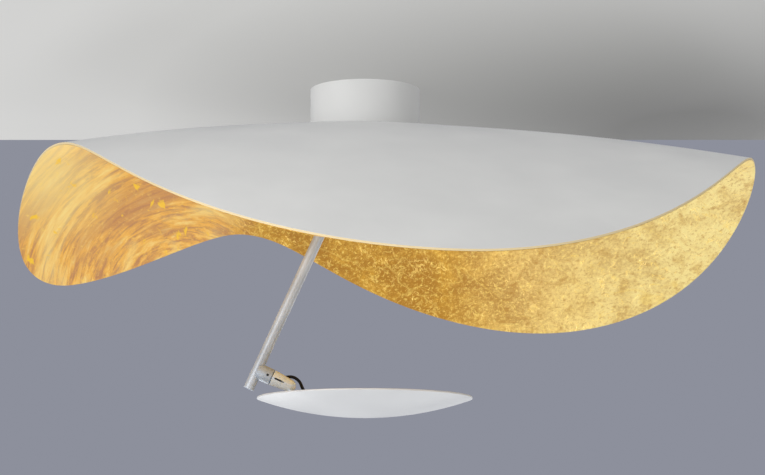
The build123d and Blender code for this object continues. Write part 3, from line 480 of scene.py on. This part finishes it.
def dress(finish, *nodes):
    """Give CAD nodes a finish."""
    for name in nodes:
        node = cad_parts[name]
        if not node.material_slots:
            node.data.materials.append(finish)
        for slot in node.material_slots:
            slot.material = finish


def station_blend(bearing, field):
    """Ease one field of the rim stations from each station to the next, in metres."""
    first = SHADE_STATIONS[0][0]
    turned = (bearing - first) % 360
    for index, station in enumerate(SHADE_STATIONS):
        following = SHADE_STATIONS[(index + 1) % len(SHADE_STATIONS)]
        start = station[0] - first
        stop = (following[0] - first) % 360 or 360
        if start <= turned <= stop:
            share = 0.5 - 0.5 * math.cos(math.pi * (turned - start) / (stop - start))
            return MM * (station[field] + (following[field] - station[field]) * share)
    return MM * SHADE_STATIONS[0][field]


def waved_sheet(name, sizes, underside, thickness):
    """Waved sheet whose underside falls from the flat to the rim, with its walls in a second finish."""
    build = bmesh.new()
    bmesh.ops.create_grid(build, x_segments=sizes.spokes, y_segments=sizes.rings, size=0.5)
    for vert in build.verts:
        bearing = 360 * (vert.co.x + 0.5)
        reach = station_blend(bearing, 2)
        radius = sizes.hole_radius + (reach - sizes.hole_radius) * (vert.co.y + 0.5)
        share = max(0.0, (radius - sizes.flat_radius) / (reach - sizes.flat_radius))
        level = underside - station_blend(bearing, 1) * share**sizes.fall_power
        turn = math.radians(bearing)
        vert.co = (radius * math.cos(turn), radius * math.sin(turn), level)
    bmesh.ops.remove_doubles(build, verts=build.verts, dist=1e-6)
    raised = bmesh.ops.extrude_face_region(build, geom=build.faces[:])
    top = [item for item in raised["geom"] if isinstance(item, bmesh.types.BMVert)]
    bmesh.ops.translate(build, verts=top, vec=(0, 0, thickness))
    bmesh.ops.recalc_face_normals(build, faces=build.faces)
    for face in build.faces:
        face.smooth = True
        if abs(face.normal.z) < WALL_LEAN:
            face.material_index = 1
            for edge in face.edges:
                edge.smooth = False
    mesh = bpy.data.meshes.new(name)
    build.to_mesh(mesh)
    build.free()
    return mesh


def smooth_cord(name, route, radius):
    """Tube on one smooth line through a route in millimetres, and the points that the line follows."""
    line = bpy.data.curves.new(name, "CURVE")
    line.dimensions = "3D"
    line.resolution_u = 10
    line.use_fill_caps = True
    spline = line.splines.new("NURBS")
    spline.points.add(len(route) - 1)
    for point, place in zip(spline.points, route):
        point.co = (*(MM * part for part in place), 1)
    spline.order_u = 3
    spline.use_endpoint_u = True
    holder = bpy.data.objects.new(name, line)
    path = [tuple(vert.co) for vert in bpy.data.meshes.new_from_object(holder).vertices]
    line.bevel_depth = radius
    line.bevel_resolution = 5
    mesh = bpy.data.meshes.new_from_object(holder)
    bpy.data.objects.remove(holder)
    return mesh, path


class LIGHT_OT_stage(bpy.types.Operator):
    """Set the camera, the lamps, the ceiling panel and the floor"""

    bl_idname = "ceiling_light.stage"
    bl_label = "Camera and Studio"

    def execute(self, context):
        scene = context.scene
        scene.view_settings.view_transform = "Standard"
        lens = bpy.data.cameras.new("camera")
        lens.sensor_width = 36
        lens.lens = CAMERA_LENS
        lens.clip_end = 60
        camera = bpy.data.objects.new("camera", lens)
        camera.location = CAMERA_PLACE
        camera.rotation_euler = (math.radians(90 + CAMERA_PITCH), 0, 0)
        scene.collection.objects.link(camera)
        scene.camera = camera
        self.world(scene)
        for name, place, aim, size, power in LAMPS:
            self.lamp(name, place, aim, size, power)
        self.panel("ceiling_panel", 0.0, (-3, 3), (-3.6, 0.349), (0.10, 0.099, 0.097), 0.47, True)
        self.panel("floor", -1.6, (-5, 5), (-5, 5), (0.62, 0.62, 0.62), 0.0, False)
        return {"FINISHED"}

    def world(self, scene):
        """Even white light, with a blue-grey backdrop for the camera and for what metal and glass show."""
        world = bpy.data.worlds.new("studio")
        world.use_nodes = True
        scene.world = world
        studio = Patterns(world.node_tree)
        light = studio.nodes["Background"]
        light.inputs["Color"].default_value = (1, 1, 1, 1)
        light.inputs["Strength"].default_value = WORLD_LIGHT
        backdrop = studio.nodes.new("ShaderNodeBackground")
        backdrop.inputs["Color"].default_value = BACKDROP
        backdrop.inputs["Strength"].default_value = 1.0
        path = studio.nodes.new("ShaderNodeLightPath")
        mix = studio.nodes.new("ShaderNodeMixShader")
        seen = studio.sums("MAXIMUM", path.outputs["Is Camera Ray"], path.outputs["Is Glossy Ray"])
        seen = studio.sums("MAXIMUM", seen, path.outputs["Is Transmission Ray"])
        studio.links.new(seen, mix.inputs["Fac"])
        studio.links.new(light.outputs["Background"], mix.inputs[1])
        studio.links.new(backdrop.outputs["Background"], mix.inputs[2])
        studio.links.new(mix.outputs["Shader"], studio.nodes["World Output"].inputs["Surface"])

    def lamp(self, name, place, aim, size, power):
        """Soft square lamp aimed at a point."""
        light = bpy.data.lights.new(name, "AREA")
        light.size = size
        light.energy = power
        lamp = bpy.data.objects.new(name, light)
        lamp.location = place
        lamp.rotation_euler = (Vector(aim) - Vector(place)).to_track_quat("-Z", "Y").to_euler()
        bpy.context.scene.collection.objects.link(lamp)

    def panel(self, name, level, across, deep, colour, glow, faces_down):
        """Flat stage panel that is seen only from the room's side, and glows with a painted shadow where
        its glow falls off.
        """
        build = bmesh.new()
        bmesh.ops.create_grid(build, x_segments=1, y_segments=1, size=0.5)
        for vert in build.verts:
            vert.co = (
                across[0] + (across[1] - across[0]) * (vert.co.x + 0.5),
                deep[0] + (deep[1] - deep[0]) * (vert.co.y + 0.5),
                level,
            )
        if faces_down:
            bmesh.ops.reverse_faces(build, faces=build.faces)
        mesh = bpy.data.meshes.new(name)
        build.to_mesh(mesh)
        build.free()
        panel = bpy.data.objects.new(name, mesh)
        bpy.context.scene.collection.objects.link(panel)
        panel.data.materials.append(self.panel_paint(name + "_paint", colour, glow))
        for ray in ("visible_diffuse", "visible_glossy", "visible_transmission", "visible_shadow"):
            setattr(panel, ray, False)

    def panel_paint(self, name, colour, glow):
        """Paint that is clear from behind, and glows, darkened into a painted shadow near CEILING_SHADOW.
        """
        paint = Finish(name, colour, 0.0, 0.8)
        paint.inputs["Emission Color"].default_value = (1, 1, 0.98, 1)
        # Painted shadow: the glow falls to a fifth near CEILING_SHADOW, standing in for the shade's shadow
        # cast on the ceiling
        painted_shadow = paint.nearness(paint.space((1, 1.4, 1)), CEILING_SHADOW, 0.10, 0.80)
        paint.links.new(paint.spread(painted_shadow, 0.0, 1.0, glow, 0.2 * glow), paint.inputs["Emission Strength"])
        side = paint.nodes.new("ShaderNodeNewGeometry")
        clear = paint.nodes.new("ShaderNodeBsdfTransparent")
        mix = paint.nodes.new("ShaderNodeMixShader")
        paint.links.new(side.outputs["Backfacing"], mix.inputs["Fac"])
        paint.links.new(paint.nodes["Principled BSDF"].outputs["BSDF"], mix.inputs[1])
        paint.links.new(clear.outputs["BSDF"], mix.inputs[2])
        paint.links.new(mix.outputs["Shader"], paint.nodes["Material Output"].inputs["Surface"])
        return paint.material


class LIGHT_OT_leads(bpy.types.Operator):
    """Make the jumper lead and finish the other leads, the wires, the gaskets and the grommet"""

    bl_idname = "ceiling_light.leads"
    bl_label = "Leads and Rubber"

    def execute(self, context):
        colours = context.scene.finish_colours
        sheath = moulded("lead_sheath", tuple(colours.lead_black), 0.6, 1200, 0.00001, 0.2)
        dress(sheath, "driver_lead", "mains_leads", "stem_wires", "socket_wires", "led_wires")
        rubber = moulded("soft_rubber", (0.018, 0.018, 0.018), 0.7, 700, 0.00003, 0.3)
        dress(rubber, "shade_gasket", "diffuser_gasket", "lead_grommet")
        radius = context.scene.lead_sizes.radius
        mesh, path = smooth_cord("jumper_sheath", JUMPER_ROUTE, radius)
        mesh.shade_smooth()
        lead = shown_piece("jumper_sheath", mesh, None, sheath, "black_rubber", "jumper_lead")
        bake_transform(lead)
        return {"FINISHED"}


class LIGHT_OT_shade(bpy.types.Operator):
    """Make the waved shade and its gold-leaf lining"""

    bl_idname = "ceiling_light.shade"
    bl_label = "Shade and Leaf Lining"

    def execute(self, context):
        sizes = context.scene.shade_sizes
        colours = context.scene.finish_colours
        sheet = waved_sheet("shade_sheet", sizes, sizes.underside, sizes.thickness)
        white = lacquer("shade_lacquer", tuple(colours.shade_white), 0.5, 0.00003, 0.4)
        shade = shown_piece("shade_sheet", sheet, "ceiling", white, "shade_white", "shade_shell")
        shade.data.materials.append(lacquer("shade_edge", tuple(colours.leaf_edge), 0.5, 0.00002, 0.4))
        low = sizes.underside - sizes.lining_gap - sizes.lining_thickness
        leaf = waved_sheet("leaf_lining", sizes, low, sizes.lining_thickness)
        gold = gold_leaf("gold_leaf", colours)
        lining = shown_piece("leaf_lining", leaf, "ceiling", gold, "gold_leaf", "shade_lining")
        lining.data.materials.append(gold)
        return {"FINISHED"}


class LIGHT_OT_canopy(bpy.types.Operator):
    """Finish the canopy, what it hides and the small parts of metal and plastic"""

    bl_idname = "ceiling_light.canopy"
    bl_label = "Canopy and Small Parts"

    def execute(self, context):
        dress(lacquer("canopy_coat", (0.71, 0.71, 0.70), 0.55, 0.00005, 0.35), "canopy_cup")
        zinc = blasted("zinc_plate", (0.62, 0.62, 0.60), 0.38, 0.00001)
        dress(zinc, "ceiling_bracket", "canopy_screws", "clamp_screws", "driver_screws")
        dress(zinc, "terminal_block_screws", "hub_bush", "hub_lock_nut", "spindle_nut", "spindle_spring")
        dress(zinc, "disc_springs", "stud_stiffener", "stud_washer", "stud_nut")
        dress(zinc, "dish_screws", "sink_screws", "diffuser_retainer")
        brass = plated("brass_parts", (0.75, 0.55, 0.24), 0.25)
        dress(brass, "earth_screw", "earth_washer", "terminal_screws")
        black = moulded("black_nylon", (0.02, 0.02, 0.021), 0.5)
        dress(black, "cable_clamp", "stem_end_plug", "lead_insert", "lead_gland")
        white = moulded("white_case", (0.80, 0.80, 0.77), 0.45)
        dress(white, "led_driver", "swivel_washer", "reflector_ring")
        dress(moulded("natural_nylon", (0.72, 0.74, 0.72), 0.3, 300, 0.00001, 0.6), "terminal_block")
        return {"FINISHED"}


class LIGHT_OT_stem(bpy.types.Operator):
    """Finish the knuckle, the stem and the side block"""

    bl_idname = "ceiling_light.stem"
    bl_label = "Stem and Block"

    def execute(self, context):
        colours = context.scene.finish_colours
        # Painted light: the steel's blue tint cancels the gold light reflected from the leaf
        dress(brushed("stem_steel", tuple(colours.steel), 0.42, STEM_SLANT), "stem_tube")
        dress(brushed("knuckle_steel", tuple(colours.steel), 0.32, (0, 0, 1)), "stem_knuckle")
        # Painted light: the block's blue tint cancels the gold light reflected from the leaf
        dress(blasted("block_aluminium", (0.50, 0.56, 0.63), 0.55), "side_block")
        dress(plated("black_oxide", (0.03, 0.03, 0.03), 0.4), "block_set_screw", "stem_grub_screws")
        return {"FINISHED"}


class LIGHT_OT_joint(bpy.types.Operator):
    """Finish the slotted socket, its ring, the ball stud and its seat"""

    bl_idname = "ceiling_light.joint"
    bl_label = "Ball Joint"

    def execute(self, context):
        colours = context.scene.finish_colours
        # Painted light: the nickel's blue tint cancels the gold light reflected from the leaf
        nickel = plated("nickel_plate", tuple(colours.nickel), 0.26)
        dress(nickel, "ball_socket", "socket_ring", "ball_stud")
        dress(plated("bronze_seat", (0.55, 0.36, 0.16), 0.35), "ball_seat_cup")
        return {"FINISHED"}


class LIGHT_OT_dish(bpy.types.Operator):
    """Finish the dish and the light engine in it"""

    bl_idname = "ceiling_light.dish"
    bl_label = "Dish of Light"

    def execute(self, context):
        colours = context.scene.finish_colours
        white = lacquer("dish_lacquer", tuple(colours.dish_white), 0.38, 0.00003, 0.5)
        dress(white, "dish_shell", "dish_top_plate")
        dress(blasted("sink_aluminium", (0.66, 0.66, 0.66), 0.42, 0.00004), "heat_sink")
        dress(moulded("board_mask", (0.84, 0.84, 0.80), 0.3), "led_board")
        dress(moulded("phosphor", (0.86, 0.68, 0.16), 0.4), "led_emitters")
        dress(opal("opal_acrylic", (0.88, 0.88, 0.86)), "diffuser")
        return {"FINISHED"}


OPERATORS = (
    LIGHT_OT_stage,
    LIGHT_OT_leads,
    LIGHT_OT_shade,
    LIGHT_OT_canopy,
    LIGHT_OT_stem,
    LIGHT_OT_joint,
    LIGHT_OT_dish,
)


class LIGHT_PT_panel(bpy.types.Panel):
    """Sidebar panel that lists the sizes, the colours and the pieces"""

    bl_idname = "LIGHT_PT_panel"
    bl_label = "Ceiling Light"
    bl_space_type = "VIEW_3D"
    bl_region_type = "UI"
    bl_category = "Ceiling Light"

    def draw(self, context):
        layout = self.layout
        for group in (context.scene.shade_sizes, context.scene.lead_sizes, context.scene.finish_colours):
            box = layout.box()
            for field in group.__annotations__:
                box.prop(group, field)
        for operator in OPERATORS:
            layout.operator(operator.bl_idname)


CLASSES = (ShadeSizes, FinishColours, LeadSizes, *OPERATORS, LIGHT_PT_panel)


def register():
    for item in CLASSES:
        bpy.utils.register_class(item)
    bpy.types.Scene.shade_sizes = bpy.props.PointerProperty(type=ShadeSizes)
    bpy.types.Scene.finish_colours = bpy.props.PointerProperty(type=FinishColours)
    bpy.types.Scene.lead_sizes = bpy.props.PointerProperty(type=LeadSizes)


def unregister():
    del bpy.types.Scene.lead_sizes
    del bpy.types.Scene.finish_colours
    del bpy.types.Scene.shade_sizes
    for item in reversed(CLASSES):
        bpy.utils.unregister_class(item)


def main():
    register()
    for operator in OPERATORS:
        group, name = operator.bl_idname.split(".")
        getattr(getattr(bpy.ops, group), name)()


if __name__ == "__main__":
    main()
